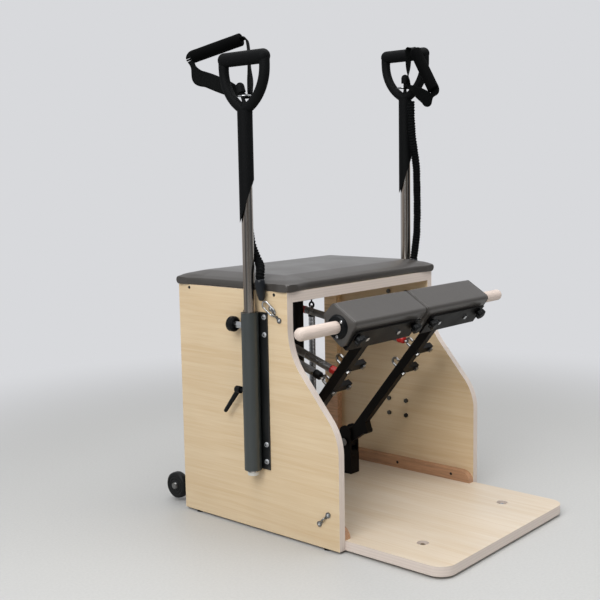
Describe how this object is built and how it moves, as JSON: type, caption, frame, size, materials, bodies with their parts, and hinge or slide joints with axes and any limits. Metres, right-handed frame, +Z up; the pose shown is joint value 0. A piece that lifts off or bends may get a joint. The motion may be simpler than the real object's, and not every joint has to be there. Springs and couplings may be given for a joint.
{
  "type": "pilates chair",
  "caption": "Pilates chair: birch cabinet with a padded seat, sprung foot pedals on swinging arms, and sliding side poles with D handles, strap handles and stretch cords.",
  "frame": {"origin": "middle of the footprint, on the floor", "axes": "+X to the right of someone who faces the back, +Y to the back, +Z up"},
  "size_m": [0.8686, 0.91, 1.2308],
  "materials": {
    "birch_ply": "clear satin lacquer on pale birch",
    "pine": "plain sanded",
    "seat_vinyl": "fine grained matt vinyl",
    "rubber": "matt",
    "sleeve_paint": "satin dark green-grey",
    "black_plastic": "fine matt",
    "zinc_steel": "bright zinc",
    "bright_steel": "polished",
    "black_steel": "semi-matt powder coat",
    "spring_steel": "polished",
    "cord_sleeve": "gathered woven sleeve",
    "cap_plastic": "smooth",
    "wheel_rubber": "matt",
    "chrome_tube": "polished",
    "plug_plastic": "smooth",
    "grip_foam": "matt foam",
    "webbing": "plain woven",
    "beech": "plain turned"
  },
  "bodies": {
    "cabinet": {"side_panel_left": "birch_ply", "side_panel_right": "birch_ply", "seat_deck": "birch_ply", "seat_cushion": "seat_vinyl", "base_platform": "birch_ply", "battens": "pine", "feet": "rubber", "pole_sleeve_left": "sleeve_paint", "pole_sleeve_right": "sleeve_paint", "pole_bushes": "black_plastic", "sleeve_bolts": "zinc_steel", "eye_straps": "bright_steel", "wheel_brackets": "black_steel", "wheel_axles": "zinc_steel", "pivot_stands": "black_steel", "pivot_bolts": "zinc_steel", "spring_posts": "black_steel", "spring_left_light": "spring_steel", "spring_left_heavy": "spring_steel", "spring_right_light": "spring_steel", "spring_right_heavy": "spring_steel", "plunger_housings": "zinc_steel", "cord_left": "cord_sleeve", "cord_right": "cord_sleeve", "cord_caps": "cap_plastic", "carabiners": "bright_steel"},
    "pedal_left": {"pedal_arm_left": "black_steel", "spring_hooks_left": "bright_steel", "pedal_plate_left": "black_steel", "pedal_pad_left": "seat_vinyl", "plate_bolts_left": "zinc_steel", "dowel_handle_left": "beech", "dowel_flange_left": "black_plastic"},
    "pole_left": {"pole_left": "chrome_tube", "pole_plug_left": "plug_plastic", "pole_handle_left": "grip_foam", "strap_handle_left": "webbing"},
    "wheel_left": {"wheel_left": "wheel_rubber"},
    "leveller_left": {"leveller_left": "zinc_steel"},
    "plunger_left": {"plunger_left": "black_plastic"},
    "clamp_lever_left": {"clamp_lever_left": "black_plastic"},
    "pad_knob_left_near": {"pad_knob_left_near": "black_plastic"},
    "pad_knob_left_far": {"pad_knob_left_far": "black_plastic"},
    "pedal_right": {"pedal_arm_right": "black_steel", "spring_hooks_right": "bright_steel", "pedal_plate_right": "black_steel", "pedal_pad_right": "seat_vinyl", "plate_bolts_right": "zinc_steel", "dowel_handle_right": "beech", "dowel_flange_right": "black_plastic"},
    "pole_right": {"pole_right": "chrome_tube", "pole_plug_right": "plug_plastic", "pole_handle_right": "grip_foam", "strap_handle_right": "webbing"},
    "wheel_right": {"wheel_right": "wheel_rubber"},
    "leveller_right": {"leveller_right": "zinc_steel"},
    "plunger_right": {"plunger_right": "black_plastic"},
    "clamp_lever_right": {"clamp_lever_right": "black_plastic"},
    "pad_knob_right_near": {"pad_knob_right_near": "black_plastic"},
    "pad_knob_right_far": {"pad_knob_right_far": "black_plastic"}
  },
  "joints": [
    {"name": "pedal_left_swing", "type": "hinge", "parent": "cabinet", "child": "pedal_left", "pos_m": [-0.15, 0.153, 0.122], "axis": [1, 0, 0], "range_deg": [0, 50], "stiffness_Nm_per_rad": 80, "springref_deg": -20.05, "deforming": ["spring_left_light", "spring_left_heavy"]},
    {"name": "pole_left_height", "type": "slide", "parent": "cabinet", "child": "pole_left", "axis": [0, 0, 1], "range_m": [-0.108, 0.162], "deforming": ["cord_left"]},
    {"name": "wheel_left_roll", "type": "hinge", "parent": "cabinet", "child": "wheel_left", "pos_m": [-0.271, 0.419, 0.044], "axis": [1, 0, 0], "continuous": true},
    {"name": "leveller_left_turn", "type": "hinge", "parent": "cabinet", "child": "leveller_left", "pos_m": [-0.182, -0.327, 0.015], "axis": [0, 0, 1], "continuous": true},
    {"name": "plunger_left_pull", "type": "slide", "parent": "cabinet", "child": "plunger_left", "axis": [0, 1, 0], "range_m": [0, 0.01], "stiffness_N_per_m": 2000, "springref_m": -0.004},
    {"name": "clamp_lever_left_turn", "type": "hinge", "parent": "cabinet", "child": "clamp_lever_left", "pos_m": [-0.3265, 0.11, 0.36], "axis": [0, 1, 0], "range_deg": [0, 120]},
    {"name": "pad_knob_left_near_turn", "type": "hinge", "parent": "pedal_left", "child": "pad_knob_left_near", "pos_m": [-0.262, -0.20426, 0.51121], "axis": [0, -0.7826, -0.6225], "continuous": true},
    {"name": "pad_knob_left_far_turn", "type": "hinge", "parent": "pedal_left", "child": "pad_knob_left_far", "pos_m": [-0.038, -0.20426, 0.51121], "axis": [0, -0.7826, -0.6225], "continuous": true},
    {"name": "pedal_right_swing", "type": "hinge", "parent": "cabinet", "child": "pedal_right", "pos_m": [0.15, 0.153, 0.122], "axis": [1, 0, 0], "range_deg": [0, 50], "stiffness_Nm_per_rad": 80, "springref_deg": -20.05, "deforming": ["spring_right_heavy"]},
    {"name": "pole_right_height", "type": "slide", "parent": "cabinet", "child": "pole_right", "axis": [0, 0, 1], "range_m": [-0.162, 0.108], "deforming": ["cord_right"]},
    {"name": "wheel_right_roll", "type": "hinge", "parent": "cabinet", "child": "wheel_right", "pos_m": [0.271, 0.419, 0.044], "axis": [1, 0, 0], "continuous": true},
    {"name": "leveller_right_turn", "type": "hinge", "parent": "cabinet", "child": "leveller_right", "pos_m": [0.182, -0.327, 0.015], "axis": [0, 0, 1], "continuous": true},
    {"name": "plunger_right_pull", "type": "slide", "parent": "cabinet", "child": "plunger_right", "axis": [0, 1, 0], "range_m": [0, 0.01], "stiffness_N_per_m": 2000, "springref_m": -0.004},
    {"name": "clamp_lever_right_turn", "type": "hinge", "parent": "cabinet", "child": "clamp_lever_right", "pos_m": [0.3265, 0.11, 0.36], "axis": [0, -1, 0], "range_deg": [0, 120]},
    {"name": "pad_knob_right_near_turn", "type": "hinge", "parent": "pedal_right", "child": "pad_knob_right_near", "pos_m": [0.038, -0.20426, 0.51121], "axis": [0, -0.7826, -0.6225], "continuous": true},
    {"name": "pad_knob_right_far_turn", "type": "hinge", "parent": "pedal_right", "child": "pad_knob_right_far", "pos_m": [0.262, -0.20426, 0.51121], "axis": [0, -0.7826, -0.6225], "continuous": true}
  ]
}
